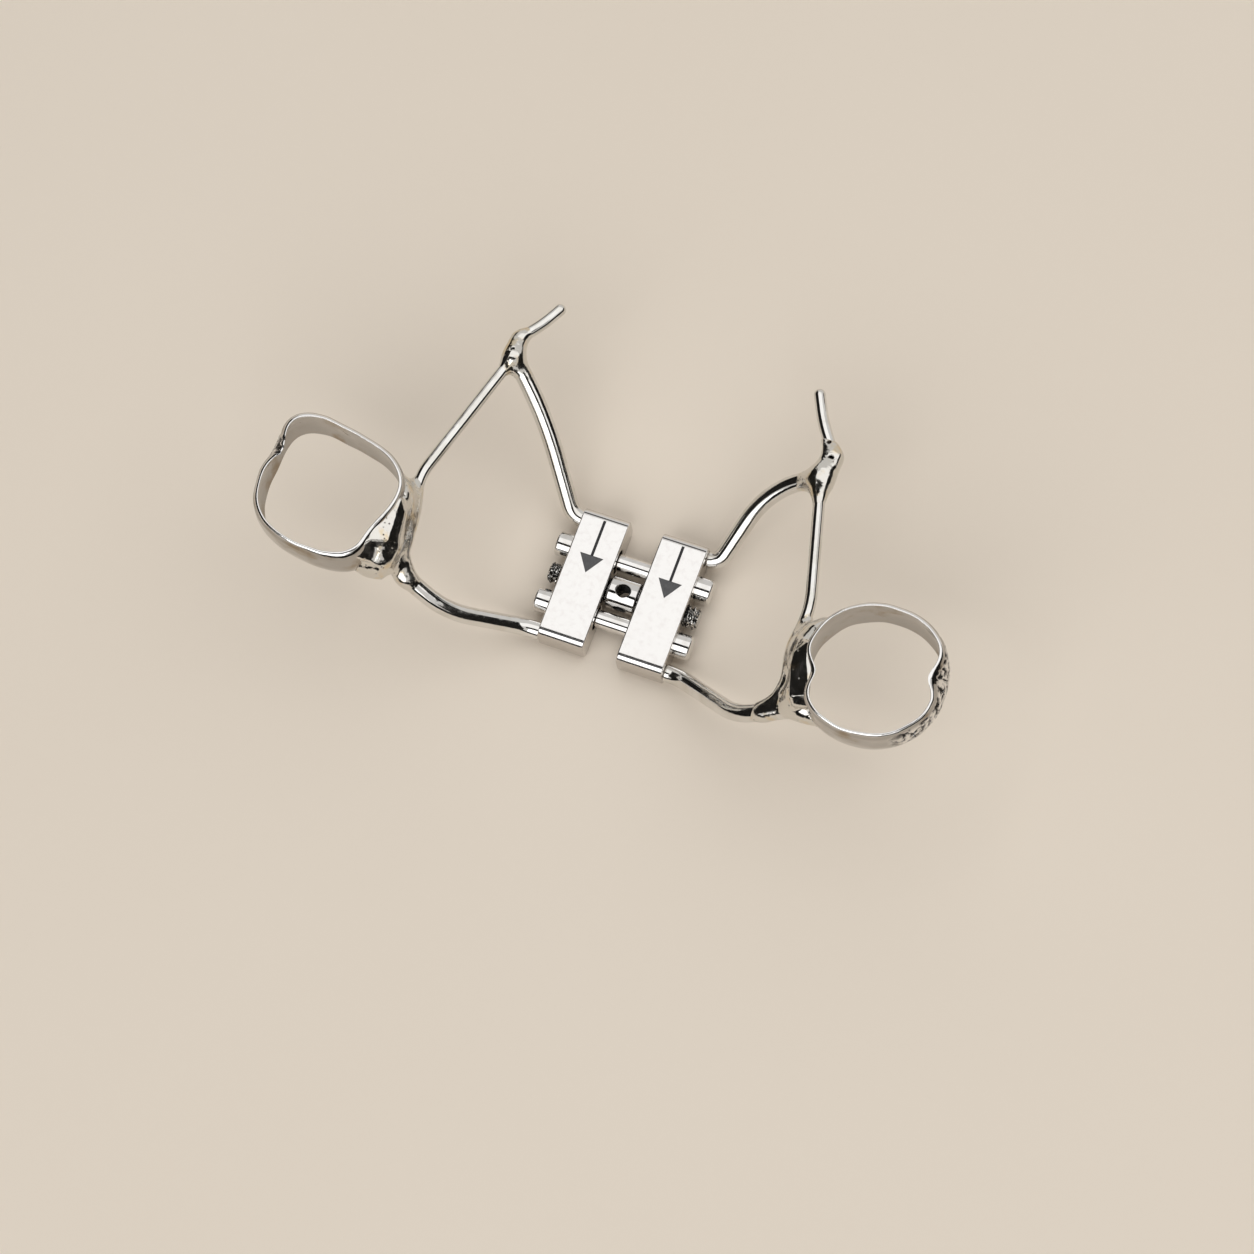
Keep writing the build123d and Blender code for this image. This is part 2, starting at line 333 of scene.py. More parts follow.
class Finish:
    """A material whose nodes are made one by one, ending in its Principled shader."""

    def __init__(self, name):
        self.material = bpy.data.materials.new(name)
        self.material.use_nodes = True
        self.nodes = self.material.node_tree.nodes
        self.links = self.material.node_tree.links
        self.shader = self.nodes["Principled BSDF"]
        self.place = self.node("ShaderNodeTexCoord", output="Object")

    def node(self, kind, settings=None, inputs=None, output=0):
        """One node: its settings first, then its sockets."""
        node = self.nodes.new(kind)
        for name, setting in (settings or {}).items():
            setattr(node, name, setting)
        for name, given in (inputs or {}).items():
            self.plug(node.inputs[name], given)
        return Value(self, node.outputs[output])

    def plug(self, socket, given):
        if isinstance(given, Value):
            self.links.new(given.socket, socket)
        else:
            socket.default_value = given

    def metal(self, colour, rough, relief, share=1.0):
        """The material, as a metal of this colour, roughness and relief."""
        return self.set(Base_Color=colour, Metallic=share, Roughness=rough, Normal=relief)

    def set(self, **inputs):
        """Values or links for the shader's own sockets, with underscores for spaces in their names."""
        for name, given in inputs.items():
            self.plug(self.shader.inputs[name.replace("_", " ")], given)
        return self.material

    def noise(self, size, detail=2.0, place=None):
        """Cloudy values about 0.5, whose lumps are about the given size in millimetres."""
        inputs = {"Vector": place or self.place, "Scale": 1 / (size * MM), "Detail": detail, "Roughness": 0.5}
        return self.node("ShaderNodeTexNoise", {"noise_dimensions": "3D"}, inputs)

    def between(self, value, low, high, to_low=0.0, to_high=1.0):
        """The value's span from low to high spread smoothly over another span."""
        inputs = {"Value": value, "From Min": low, "From Max": high, "To Min": to_low, "To Max": to_high}
        return self.node("ShaderNodeMapRange", {"interpolation_type": "SMOOTHSTEP"}, inputs)

    def axis(self, name, vector=None):
        """One axis of a vector, by default of the surface's place."""
        return self.node("ShaderNodeSeparateXYZ", {}, {"Vector": vector or self.place}, output=name)

    def from_screw(self):
        """Distance from the screw's axis."""
        across = self.node("ShaderNodeVectorMath", {"operation": "MULTIPLY"}, {0: self.place, 1: (0, 1, 1)})
        return self.node("ShaderNodeVectorMath", {"operation": "LENGTH"}, {0: across}, output="Value")

    def lathe_rings(self):
        """Fine rings round the screw's direction."""
        return self.noise(0.05, place=self.stretched((1, 0.02, 0.02)))

    def kept(self, name):
        """A value that mark_points keeps for each point of the mesh."""
        return self.node("ShaderNodeAttribute", {"attribute_name": name}, output="Fac")

    def mix(self, share, first, second):
        """A colour between two, by share."""
        return self.node("ShaderNodeMix", {"data_type": "RGBA"}, {0: share, 6: first, 7: second}, output=2)

    def stretched(self, scale):
        """The surface's place, squeezed or drawn out along its axes."""
        return self.node("ShaderNodeMapping", {}, {"Vector": self.place, "Scale": scale})

    def bump(self, height, depth, after=None):
        """A normal for a relief that is depth millimetres high, over an earlier relief."""
        inputs = {"Height": height, "Distance": depth * MM, "Strength": 1.0}
        if after:
            inputs["Normal"] = after
        return self.node("ShaderNodeBump", {}, inputs)


def rgb(red, green, blue):
    return (red, green, blue, 1.0)


def polished_wire(name):
    """Mirror-polished wire: a bright steel with soft waves from the wheel, hairline marks and dull patches."""
    finish = Finish(name)
    cloud = finish.noise(1.7, detail=3)
    marks = finish.noise(0.09, place=finish.stretched((1, 0.12, 1)))
    scuff = finish.between(marks, 0.6, 0.75)
    waves = finish.bump(finish.noise(0.9, detail=1), 0.012)
    hairlines = finish.bump(marks, 0.0012, after=waves)
    colour = finish.mix(finish.between(cloud, 0.4, 0.7), rgb(0.78, 0.77, 0.75), rgb(0.7, 0.68, 0.64))
    rough = finish.between(cloud, 0.35, 0.75, 0.05, 0.13) + scuff * 0.08
    return finish.metal(colour, rough, hairlines)


def pressed_band(name):
    """Thin polished strip, dented where it was pressed on, with fine scratches along it and a warm stain. Its
    rim's top is lighter, a spattered patch is painted lighter for painted glints, and the patch's hollows are
    painted near black as shade.
    """
    finish = Finish(name)
    dents = finish.noise(1.1)
    fine = finish.noise(0.07)
    scratches = finish.noise(0.12, detail=3, place=finish.stretched((0.2, 0.2, 1.6)))
    stain = finish.between(finish.noise(2.3, detail=4), 0.5, 0.72)
    relief = finish.bump(dents, 0.035)
    relief = finish.bump(scratches, 0.003, after=relief)
    bright = finish.kept("lighter_rim_and_glints")
    pits = finish.kept("pits")
    colour = finish.mix(stain, rgb(0.46, 0.44, 0.42), rgb(0.34, 0.28, 0.21))
    # Lighter on the rim's top, and on the spattered patch as painted glints.
    colour = finish.mix(bright, colour, rgb(0.82, 0.81, 0.8))
    # The spatter's hollows painted near black: painted shade.
    colour = finish.mix(pits, colour, rgb(0.025, 0.022, 0.02))
    rough = finish.between(fine, 0.35, 0.7, 0.07, 0.16) + stain * 0.1 + pits * 0.2
    return finish.metal(colour, rough, relief)


def flowed_solder(name):
    """Silver solder, ground and polished: uneven, with small pits painted dark as shade in them and a yellow cast
    in places.
    """
    finish = Finish(name)
    flow = finish.noise(0.8, detail=3)
    cells = finish.node("ShaderNodeTexVoronoi", {}, {"Vector": finish.place, "Scale": 1 / (0.42 * MM)})
    pits = (1 - finish.between(cells, 0.08, 0.2)) * finish.between(finish.noise(1.1, detail=1), 0.54, 0.6)
    sunk = finish.kept("pits")
    gold = finish.between(finish.noise(1.3), 0.52, 0.7)
    relief = finish.bump(flow, 0.05)
    relief = finish.bump(1 - pits, 0.04, after=relief)
    colour = finish.mix(gold, rgb(0.72, 0.7, 0.66), rgb(0.72, 0.62, 0.46))
    # The small pits are painted dark: painted shade.
    colour = finish.mix(pits, colour, rgb(0.12, 0.1, 0.08))
    # The walls of the carved pits are painted near black: painted shade.
    colour = finish.mix(sunk, colour, rgb(0.03, 0.025, 0.02))
    rough = finish.between(flow, 0.3, 0.75, 0.06, 0.2) + pits * 0.3
    return finish.metal(colour, rough, relief)


def satin_housing(name):
    """Satin machined steel with a faint mottle, walls painted darker than the top as shade, and dark paint in the
    engraved arrow's floor, darker still in the shaft as painted shade in its narrow groove.
    """
    finish = Finish(name)
    level = finish.axis("Z")
    grain = finish.noise(0.05, detail=3, place=finish.stretched((1, 0.15, 1)))
    mottle = finish.noise(0.55, detail=4)
    blush = finish.between(mottle, 0.45, 0.75)
    turned_up = finish.axis("Z", finish.node("ShaderNodeNewGeometry", output="True Normal"))
    sunk = (level > (TOP - 1.4 * ARROW_DEPTH) * MM) * (level < (TOP - 0.4 * ARROW_DEPTH) * MM)
    floor = (turned_up > 0.9) * sunk
    steel = finish.mix(blush, rgb(0.81, 0.8, 0.79), rgb(0.77, 0.75, 0.74))
    # The walls below the top are painted darker: painted shade.
    near_top = finish.between(level, (TOP - 0.5) * MM, (TOP - 0.18) * MM)
    steel = finish.mix(near_top, rgb(0.6, 0.57, 0.54), steel)
    paint = finish.mix(finish.between(grain, 0.3, 0.7), rgb(0.07, 0.07, 0.075), rgb(0.13, 0.13, 0.135))
    # The arrow's shaft is painted darker than its head: painted shade in its narrow groove.
    paint = finish.mix(finish.axis("Y") > ARROW_NECK * MM, paint, rgb(0.02, 0.02, 0.022))
    colour = finish.mix(floor, steel, paint)
    rough = finish.between(mottle, 0.3, 0.7, 0.12, 0.17) + floor * 0.4
    relief = finish.bump(grain, 0.002)
    return finish.metal(colour, rough, relief, 1 - floor * 0.9)


def turned_steel(name):
    """Turned and polished steel, with fine rings left by the lathe and a few dull patches."""
    finish = Finish(name)
    rings = finish.lathe_rings()
    cloud = finish.noise(0.8, detail=3)
    colour = finish.mix(finish.between(cloud, 0.4, 0.75), rgb(0.8, 0.79, 0.78), rgb(0.72, 0.7, 0.67))
    rough = finish.between(rings, 0.3, 0.7, 0.05, 0.11) + finish.between(cloud, 0.4, 0.8, 0.0, 0.05)
    return finish.metal(colour, rough, finish.bump(rings, 0.002))


def bored_collar(name):
    """The collar's turned steel, with the walls of its key holes painted black as shade."""
    finish = Finish(name)
    rings = finish.lathe_rings()
    radius = finish.from_screw()
    # The key holes' walls are painted black and dull: painted shade in the holes.
    hole_shade = 1 - finish.between(radius, (COLLAR_RADIUS - 0.12) * MM, (COLLAR_RADIUS - 0.04) * MM)
    colour = finish.mix(hole_shade, rgb(0.74, 0.73, 0.72), rgb(0.012, 0.011, 0.01))
    rough = finish.between(rings, 0.3, 0.7, 0.06, 0.12) + hole_shade * 0.4
    return finish.metal(colour, rough, finish.bump(rings, 0.002), 1 - hole_shade)


def thread_shade_and_glints(name):
    """Thread painted near black as shade in its grooves, with painted glints in spots on its crests and on its
    end past the housing, and its end faces plain and lighter.
    """
    finish = Finish(name)
    radius = finish.from_screw()
    crest = finish.between(radius, (THREAD_RADIUS - 0.13) * MM, (THREAD_RADIUS - 0.03) * MM)
    speckle = finish.noise(0.14, detail=3)
    outward = finish.node("ShaderNodeMath", {"operation": "ABSOLUTE"}, {0: finish.axis("X")})
    end = finish.between(outward, OUTER_FACE * MM, (OUTER_FACE + 0.2) * MM)
    # Spots of bright steel on the crests and past the housing are painted glints; all else but the end faces is
    # painted near black as shade.
    wear_and_glints = (crest + end - crest * end) * finish.between(speckle, 0.5, 0.54)
    plain = 1 - finish.between(radius, 0.62 * THREAD_RADIUS * MM, 0.68 * THREAD_RADIUS * MM)
    bright = wear_and_glints + plain * (0.7 - wear_and_glints)
    colour = finish.mix(bright, rgb(0.02, 0.019, 0.018), rgb(0.86, 0.85, 0.83))
    rough = 0.4 - bright * 0.28
    relief = finish.bump(speckle * (1 - plain), 0.03)
    return finish.metal(colour, rough, relief)


# Meshes.


def unit(vectors):
    """Vectors made one long."""
    return vectors / np.linalg.norm(vectors, axis=-1, keepdims=True)


def grid_faces(rows, columns, wrap_rows=False, wrap_columns=True):
    """Quads between neighbouring points of a grid that is kept row after row."""
    here = np.arange(rows * columns).reshape(rows, columns)
    beside = np.roll(here, -1, axis=1)
    quads = np.stack([here, beside, np.roll(beside, -1, axis=0), np.roll(here, -1, axis=0)], axis=-1)
    quads = quads[: rows if wrap_rows else rows - 1, : columns if wrap_columns else columns - 1]
    return quads.reshape(-1, 4).tolist()


def capped(grid):
    """The shape of rings carried one after another, with a flat face over the first and the last ring."""
    rows, columns = grid.shape[:2]
    last = (rows - 1) * columns
    ends = [list(range(columns)), list(range(last, last + columns))]
    return grid.reshape(-1, 3), grid_faces(rows, columns) + ends


def joined(*shapes):
    """Several (points, faces) shapes as one."""
    points = np.concatenate([shape[0] for shape in shapes])
    starts = np.cumsum([0] + [len(shape[0]) for shape in shapes])
    faces = [[corner + start for corner in face] for shape, start in zip(shapes, starts) for face in shape[1]]
    return points, faces


def mesh_object(name, shape):
    """An object of a (points, faces) shape, with its faces turned outwards."""
    points, faces = shape
    mesh = bpy.data.meshes.new(name)
    mesh.from_pydata((points * MM).tolist(), [], faces)
    form = bmesh.new()
    form.from_mesh(mesh)
    bmesh.ops.recalc_face_normals(form, faces=form.faces)
    form.to_mesh(mesh)
    form.free()
    made = bpy.data.objects.new(name, mesh)
    bpy.context.scene.collection.objects.link(made)
    return made


def cut_away(made, shape):
    """Takes a closed shape out of an object's mesh."""
    cutter = mesh_object(f"{made.name}_cutter", shape)
    cut = made.modifiers.new("cut", "BOOLEAN")
    cut.operation = "DIFFERENCE"
    cut.solver = "EXACT"
    cut.object = cutter
    graph = bpy.context.evaluated_depsgraph_get()
    result = bpy.data.meshes.new_from_object(made.evaluated_get(graph))
    made.modifiers.clear()
    made.data = result
    bpy.data.objects.remove(cutter)


def mark_points(made, name, values):
    """Keeps a value for each point of a mesh, for its material to read."""
    kept = made.data.attributes.new(name, "FLOAT", "POINT")
    kept.data.foreach_set("value", np.ascontiguousarray(values, dtype=np.float32).ravel())


def dress(made, body, finish, node, crease=None):
    """Finishes a piece: shading, material, the body it rides on and the node it stands for."""
    made.data.polygons.foreach_set("use_smooth", np.ones(len(made.data.polygons), dtype=bool))
    if crease:
        made.data.set_sharp_from_angle(angle=radians(crease))
    made.data.materials.clear()
    made.data.materials.append(finish)
    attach(made, body)
    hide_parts(node)


def lattice_noise(points, size, seed):
    """Smooth random values between -1 and 1: random numbers on a lattice of the given size, blended between."""
    count = 24
    table = np.random.default_rng(seed).uniform(-1.0, 1.0, (count, count, count))
    scaled = points / size
    cell = np.floor(scaled).astype(int)
    share = scaled - cell
    share = share * share * (3 - 2 * share)
    total = np.zeros(points.shape[:-1])
    for corner in np.ndindex(2, 2, 2):
        picked = table[tuple(np.moveaxis((cell + corner) % count, -1, 0))]
        weights = np.where(corner, share, 1 - share)
        total += picked * weights.prod(axis=-1)
    return total


# Round forms about a line along X.


def rings(stations, radii, turns, forward=0.0, up=0.0):
    """A ring at each station along X, of its radius at each turn, about centres that lie forward and up."""
    stations = np.broadcast_to(np.reshape(stations, (-1, 1)), (len(stations), len(turns)))
    return np.stack([stations, forward + radii * np.cos(turns), up + radii * np.sin(turns)], axis=-1)


def turned(stations, radii, forward=0.0, sides=64):
    """A round shape of each radius at each station along X, about a line that lies forward of the screw."""
    turns = np.linspace(0, 2 * pi, sides, endpoint=False)
    return capped(rings(stations, np.reshape(radii, (-1, 1)), turns, forward))


def rounded_end(start, end, radius, rounding, steps=8):
    """Stations and radii of a rod whose far end is rounded by a quarter circle."""
    turn = np.linspace(0, pi / 2, steps)
    way = np.sign(end - start)
    stations = np.concatenate([[start], end - way * rounding * (1 - np.sin(turn))])
    radii = np.concatenate([[radius], radius - rounding * (1 - np.cos(turn))])
    return stations, radii


def both_sides(run):
    """A run of stations and radii from the middle outward, with its mirror image before it."""
    stations, radii = run
    return np.concatenate([-stations[:0:-1], stations[1:]]), np.concatenate([radii[:0:-1], radii[1:]])


def helix_thread(sign, sides=60, per_lead=18):
    """One thread: the radius dips by a blunt V once a lead along X, and the dip winds round with the angle.

    The winding's hand follows the side. The outer end is cut back by a cone and lumpy with wear past the housing.
    """
    stations = np.linspace(THREAD_START, THREAD_END, int((THREAD_END - THREAD_START) / THREAD_LEAD * per_lead))
    turns = np.linspace(0, 2 * pi, sides, endpoint=False)
    winding = (stations[:, None] / THREAD_LEAD - turns / (2 * pi)) % 1.0
    dip = 1 - np.abs(2 * winding - 1)
    dip = np.clip(dip * 1.25 - 0.12, 0, 1)
    radii = THREAD_RADIUS - THREAD_DEPTH * dip
    cone = THREAD_RADIUS - THREAD_CHAMFER + (THREAD_END - stations)
    radii = np.minimum(radii, cone[:, None])
    points = rings(sign * stations, radii, turns)
    # How far the end past the housing is lumpy with wear; the material paints glints on the same end.
    wear_and_glints = np.clip((stations - OUTER_FACE) / 0.3, 0, 1)[:, None]
    lumps = 0.6 * lattice_noise(points, 0.3, 3) + 0.4 * lattice_noise(points, 0.16, 4)
    points[..., 1:] *= (1 + wear_and_glints * (0.16 * lumps - THREAD_WEAR))[..., None]
    return capped(points)


def build_spindle():
    """Collar with crossed key holes, and a thread of each hand on either side of it."""
    run = rounded_end(0.0, COLLAR_END, COLLAR_RADIUS, COLLAR_EDGE)
    collar = mesh_object("spindle_collar", turned(*both_sides(run), sides=96))
    mouth = COLLAR_RADIUS + KEY_HOLE_PROUD
    depths = mouth - np.array([0, KEY_HOLE_LIP, KEY_HOLE_LIP + KEY_HOLE_FLARE])
    stations = np.concatenate([-depths, depths[::-1]])
    bore = KEY_HOLE_RADIUS + KEY_HOLE_FLARE * np.array([1, 1, 0, 0, 1, 1])
    points, faces = turned(stations, bore, sides=48)
    cut_away(collar, (points[:, [2, 1, 0]], faces))
    cut_away(collar, (points[:, [2, 0, 1]], faces))
    dress(collar, "spindle", COLLAR, "spindle", crease=40)
    for name, sign in (("left", -1), ("right", 1)):
        thread = mesh_object(f"spindle_{name}_thread", helix_thread(sign))
        dress(thread, "spindle", THREAD, "spindle", crease=50)


def build_pins_and_sleeves():
    """Straight pins with eased ends, and closed sleeves with rounded ends in both housings."""
    for place, way in (("front", 1), ("rear", -1)):
        run = rounded_end(0.0, PIN_END, PIN_RADIUS, PIN_EDGE)
        pin = mesh_object(f"{place}_pin", turned(*both_sides(run), way * PIN_OFFSET))
        dress(pin, "guide", TURNED, f"{place}_guide_pin", crease=40)
        for half in (LEFT, RIGHT):
            run = rounded_end(OUTER_FACE - SLEEVE_BURIED, SLEEVE_END, SLEEVE_RADIUS, SLEEVE_ROUND)
            sleeve = mesh_object(
                f"{half.name}_{place}_closed_sleeve",
                turned(half.sign * run[0], run[1], way * PIN_OFFSET),
            )
            dress(sleeve, half.body, TURNED, f"{half.name}_{place}_sleeve", crease=40)


# Housings.


def rounded_block(middle, steps=12):
    """A block along X: a rectangle with rounded corners, drawn in by a quarter circle at both end faces."""
    stations, radii = both_sides(rounded_end(0.0, HOUSING_WIDTH / 2, HOUSING_ROUND, HOUSING_EDGE, steps=6))
    turns = np.concatenate([np.linspace(0, pi / 2, steps) + quarter * pi / 2 for quarter in range(4)])
    forward = np.repeat([1, -1, -1, 1], steps) * (HOUSING_LENGTH / 2 - HOUSING_ROUND)
    up = np.repeat([1, 1, -1, -1], steps) * (TOP - HOUSING_ROUND)
    return capped(rings(middle + stations, radii[:, None], turns, forward, up))


def through_bore(radius, forward, sign):
    """A bore through a housing along X, flared where it opens in both faces."""
    ends = INNER_FACE + np.array([-CUT_PROUD, 0, MOUTH_FLARE])
    radii = radius + MOUTH_FLARE + np.array([CUT_PROUD, 0, -MOUTH_FLARE])
    stations = np.concatenate([ends, 2 * HOUSING_MIDDLE - ends[::-1]])
    return turned(sign * stations, np.concatenate([radii, radii[::-1]]), forward)


def arrow_pocket(sign):
    """The arrow's outline sunk into a housing's top: a straight shaft and a filled three-cornered head."""
    middle = sign * HOUSING_MIDDLE
    shaft, head = ARROW_SHAFT_HALF_WIDTH, ARROW_HEAD_HALF_WIDTH
    right_side = [(shaft, ARROW_FRONT), (shaft, ARROW_NECK), (head, ARROW_NECK)]
    outline = right_side + [(0.0, ARROW_TIP)] + [(-across, along) for across, along in right_side[::-1]]
    flat = np.array(outline) + (middle, 0)
    levels = (TOP - ARROW_DEPTH, TOP + CUT_PROUD)
    return capped(np.stack([np.column_stack([flat, np.full(len(flat), level)]) for level in levels]))


def build_housing(half):
    """Rounded block with its bores, its two spigot holes and its arrow."""
    sign = half.sign
    block = mesh_object(f"{half.name}_block", rounded_block(sign * HOUSING_MIDDLE))
    spigot_holes = [
        turned(sign * (OUTER_FACE + np.array([-SPIGOT_DEPTH, CUT_PROUD])), [SPIGOT_RADIUS] * 2, way * ARM_SEAT)
        for way in (1, -1)
    ]
    cutter = joined(
        through_bore(THREAD_RADIUS + THREAD_PLAY, 0.0, sign),
        through_bore(SLEEVE_RADIUS + SLEEVE_PLAY, PIN_OFFSET, sign),
        through_bore(SLEEVE_RADIUS + SLEEVE_PLAY, -PIN_OFFSET, sign),
        arrow_pocket(sign),
        *spigot_holes,
    )
    cut_away(block, cutter)
    dress(block, half.body, HOUSING, f"{half.name}_housing", crease=32)


# Wires.


def bent_path(corners):
    """Points along straight runs joined by arcs that touch them.

    An arc takes a share of the shorter run beside its corner, and the end runs give twice that share.
    """
    corners = np.asarray(corners, float)
    runs = np.diff(corners, axis=0)
    lengths = np.linalg.norm(runs, axis=1)
    ways = unit(runs)
    room = BEND_SHARE * lengths
    room[[0, -1]] *= 2
    bends = [corners[:1]]
    for corner, before, after, reach in zip(corners[1:-1], ways[:-1], ways[1:], np.minimum(room[:-1], room[1:])):
        half_turn = np.arccos(np.clip(before @ after, -1, 1)) / 2
        radius = reach / np.tan(half_turn)
        centre = corner + unit(after - before) * radius / np.cos(half_turn)
        first, last = corner - before * reach - centre, corner + after * reach - centre
        share = np.linspace(0, 1, 24)[:, None]
        turn = 2 * half_turn
        arc = (np.sin((1 - share) * turn) * first + np.sin(share * turn) * last) / np.sin(turn)
        bends.append(centre + arc)
    bends.append(corners[-1:])
    return np.concatenate(bends)


def travelled(path):
    """Distance from a path's start to each of its points."""
    return np.concatenate([[0], np.cumsum(np.linalg.norm(np.diff(path, axis=0), axis=1))])


def along(path, distances):
    """The points of a path at the given distances from its start."""
    way = travelled(path)
    return np.stack([np.interp(distances, way, path[:, axis]) for axis in range(3)], axis=-1)


def eased(path, reach=7):
    """The path at even steps, with each point taken to the mean of its neighbours, apart from the ends."""
    length = travelled(path)[-1]
    even = along(path, np.linspace(0, length, int(length / WIRE_STEP)))
    padded = np.concatenate([2 * even[0] - even[reach:0:-1], even, 2 * even[-1] - even[-2 : -reach - 2 : -1]])
    kernel = np.hanning(2 * reach + 3)[1:-1]
    kernel /= kernel.sum()
    return np.stack([np.convolve(padded[:, axis], kernel, "valid") for axis in range(3)], axis=-1)


def in_half(half, places):
    """Places of a half as X, Y, Z."""
    return np.asarray(places, float) * (half.sign, 1, 1)


def arm_path(half, way):
    """Middle line of the front or rear arm: straight out of the housing, then through its bends."""
    stub = FRONT_STUB if way > 0 else REAR_STUB
    bends = [half.front_arm_bend, half.junction] if way > 0 else half.rear_arm_bends + [half.rear_arm_end]
    seat = way * ARM_SEAT
    return eased(bent_path(in_half(half, [(OUTER_FACE, seat, 0), (OUTER_FACE + stub, seat, 0)] + bends)))


def bar_path(half):
    """Middle line of the bar: from its foot on the rear arm, along the band, to the tip of its finger."""
    low, high = np.asarray(half.rear_arm_bends, float)
    foot = low + (high - low) * half.bar_foot_share
    tip = half.finger_tip + (BAR_RADIUS - 0.02) * unit(np.subtract(half.finger_tip, half.finger_bends[-1]))
    places = [tuple(foot)] + half.bar_along_band + [half.junction] + half.finger_bends + [tuple(tip)]
    return eased(bent_path(in_half(half, places)))


def tube(path, radii):
    """A circle carried along a path, square to it, with one of its arms kept level."""
    ways = unit(np.gradient(path, axis=0))
    level = unit(np.cross(ways, UP))
    rise = np.cross(level, ways)
    angle = np.linspace(0, 2 * pi, WIRE_SIDES, endpoint=False)[None, :, None]
    ring = np.cos(angle) * level[:, None] + np.sin(angle) * rise[:, None]
    return capped(path[:, None] + np.asarray(radii)[:, None, None] * ring)


def hand_worn(distances, seed):
    """A radius factor that wanders by up to two parts in a hundred below the plain wire's along its length."""
    line = np.stack([distances, np.full_like(distances, seed), np.zeros_like(distances)], axis=-1)
    return 1 - WIRE_WEAR + WIRE_WEAR * lattice_noise(line, 2.2, seed)


def end_rounding(to_end, radius, rounding):
    """Radius near a wire's end, where a quarter circle takes its edge off."""
    inner = np.clip(1 - to_end / rounding, 0, 1)
    return radius - rounding * (1 - np.sqrt(1 - inner**2))


def band_core(half):
    """What the band closes round, out to the middle of its wall: the outline carried up, with flat ends."""
    turns = np.linspace(0, 2 * pi, 180, endpoint=False)[None, :]
    levels = np.linspace(BAND_FOOT - 3.0, BAND_RIM + 1.0, 40)[:, None]
    held = np.clip(levels, BAND_FOOT, BAND_RIM)
    core = band_place(half, turns, held, band_radius(half, turns, held, BAND_WALL / 2))
    core[..., 2] = levels
    return capped(core)


def build_arm(half, way, seed):
    """Arm: a thin spigot out of the housing, a rounded shoulder, then the full wire to its end."""
    path = arm_path(half, way)
    length = travelled(path)[-1]
    steps = SHOULDER_ROUND * (1 - np.cos(np.linspace(0, pi / 2, 9)))
    distances = np.concatenate([steps, np.arange(SHOULDER_ROUND + WIRE_STEP, length, WIRE_STEP), [length]])
    radii = end_rounding(distances, ARM_RADIUS, SHOULDER_ROUND) * hand_worn(distances, seed)
    neck = path[0] - in_half(half, [(SPIGOT_SHOWN, 0, 0), (0.002, 0, 0)])
    points = np.concatenate([neck, along(path, distances)])
    radii = np.concatenate([[SPIGOT_RADIUS] * 2, radii])
    name = f"{half.name}_{'front' if way > 0 else 'rear'}_arm"
    made = mesh_object(f"{name}_wire", tube(points, radii))
    if way < 0:
        cut_away(made, band_core(half))
    dress(made, half.body, WIRE, name, crease=45)


def build_bar(half, seed):
    """Palatal bar with its finger: one wire with a round tip."""
    path = bar_path(half)
    length = travelled(path)[-1]
    steps = BAR_RADIUS * (1 - np.cos(np.linspace(0, pi / 2, 13)))
    middle = np.arange(0, length - BAR_RADIUS - WIRE_STEP / 2, WIRE_STEP)
    distances = np.concatenate([middle, length - steps[::-1]])
    radii = end_rounding(length - distances, BAR_RADIUS, 0.98 * BAR_RADIUS) * hand_worn(distances, seed)
    made = mesh_object(f"{half.name}_bar_wire", tube(along(path, distances), radii))
    cut_away(made, band_core(half))
    dress(made, half.body, WIRE, f"{half.name}_palatal_bar", crease=45)


# Bands.


def through_levels(level, foot, waist, rim):
    """A value that runs by a parabola through its foot, waist and rim values, up the band's height."""
    share = (level - BAND_FOOT) / (BAND_RIM - BAND_FOOT)
    return foot * (1 - share) * (1 - 2 * share) + waist * 4 * share * (1 - share) + rim * share * (2 * share - 1)


def turn_between(first, second):
    """How far one turn is past another, at most half a turn either way."""
    return (first - second + pi) % (2 * pi) - pi


def band_radius(half, turn, level, inset=0.0):
    """Distance of the band's wall from its middle: a squared ellipse, less a groove on two sides."""
    drawn_in = through_levels(level, FOOT_DRAW_IN, 0.0, RIM_DRAW_IN) + inset
    half_width = half.band_width / 2 - drawn_in
    half_length = half.band_length / 2 - drawn_in
    power = half.band_squareness
    across = np.abs(np.cos(turn) / half_width) ** power
    along_band = np.abs(np.sin(turn) / half_length) ** power
    outline = (across + along_band) ** (-1 / power)
    for groove in (half.buccal_groove, half.palatal_groove):
        depth = through_levels(level, groove.waist_depth, groove.waist_depth, groove.rim_depth)
        aside = half_width * turn_between(turn, groove.turn) / groove.half_width
        outline = outline - depth * np.exp(-(aside**2))
    return outline


def band_place(half, turn, level, radius):
    """A band point from its turn, level and radius, with the rim's lean and the outline's skew."""
    lean = through_levels(level, 0.0, 0.0, RIM_LEAN)
    across = radius * np.cos(turn)
    forward = half.band_forward + radius * np.sin(turn) + half.band_skew * across
    outward = half.band_outward - lean + across
    return np.stack([half.sign * outward, forward, np.broadcast_to(level, outward.shape)], axis=-1)


